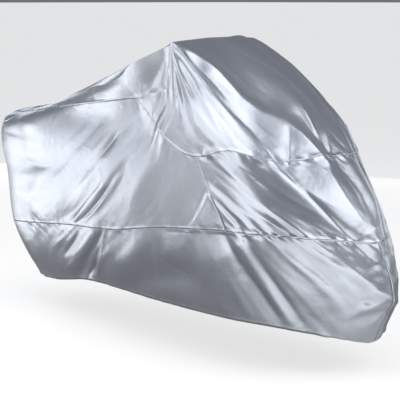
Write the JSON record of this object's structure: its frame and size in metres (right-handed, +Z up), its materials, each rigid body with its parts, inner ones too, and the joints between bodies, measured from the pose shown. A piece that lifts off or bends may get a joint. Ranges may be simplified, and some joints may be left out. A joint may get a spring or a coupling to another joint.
{
  "type": "motorcycle cover",
  "caption": "Fitted silver cloth cover for a parked motorcycle: shaped panels sewn together, high turned front, low tail and elastic-drawn hem, hanging in its natural folds.",
  "frame": {"origin": "on the lining under the saddle, where the top of the cover rests on what it covers", "axes": "+X to the nose, +Y to the left, +Z up"},
  "size_m": [2.3681, 0.7899, 1.1953],
  "materials": {
    "silver_cloth": "thin woven cloth with a silver coating, satin and creased"
  },
  "bodies": {
    "root": {"crown_panel": "silver_cloth", "side_panel_right": "silver_cloth", "side_panel_left": "silver_cloth", "front_panel": "silver_cloth", "skirt_right": "silver_cloth", "skirt_left": "silver_cloth"}
  },
  "joints": []
}
